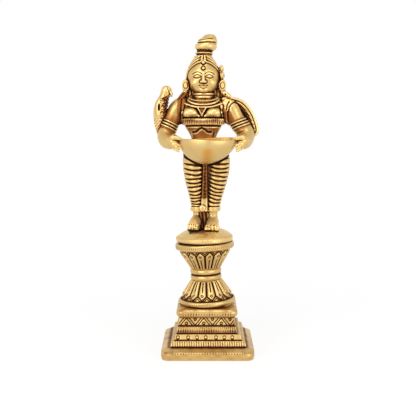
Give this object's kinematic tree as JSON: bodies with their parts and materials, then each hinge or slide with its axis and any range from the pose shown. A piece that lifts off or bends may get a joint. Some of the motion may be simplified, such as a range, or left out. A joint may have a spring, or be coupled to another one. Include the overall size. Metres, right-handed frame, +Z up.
{
  "type": "lamp bearer figurine",
  "caption": "Cast brass standing lamp bearer with a parrot at the arm holds an oil bowl; lotus pedestal on a square stepped plinth, clamped by a hidden tie rod.",
  "frame": {"origin": "centre of the square foot, on the table", "axes": "+Z up, the figure's front towards -Y, her left towards +X"},
  "size_m": [0.0563, 0.0492, 0.17],
  "materials": {
    "antique_brass": "satin gold on the high spots, near black in the engraved lines",
    "satin_brass": "pale satin gold",
    "zinc_steel": "dull zinc"
  },
  "bodies": {
    "stand": {"plinth": "antique_brass", "lower_lotus": "antique_brass", "waist_collar": "antique_brass", "upper_lotus": "antique_brass"},
    "figure": {"tie_rod": "zinc_steel", "clamp_washer": "zinc_steel", "clamp_nut": "zinc_steel", "foot_plate": "antique_brass", "feet": "antique_brass", "skirt": "antique_brass", "front_sash": "antique_brass", "torso": "antique_brass", "necklaces": "antique_brass", "head": "antique_brass", "ear_discs": "antique_brass", "hair_knot": "antique_brass", "right_arm": "antique_brass", "left_arm": "antique_brass", "arm_bands": "antique_brass", "lamp_bowl": "satin_brass", "parrot": "antique_brass", "shoulder_drape": "antique_brass"}
  },
  "joints": [
    {"name": "figure_turn", "type": "hinge", "parent": "stand", "child": "figure", "pos_m": [-0.00025, 0, 0.0259], "axis": [-0.0454, 0, 0.999], "continuous": true}
  ]
}
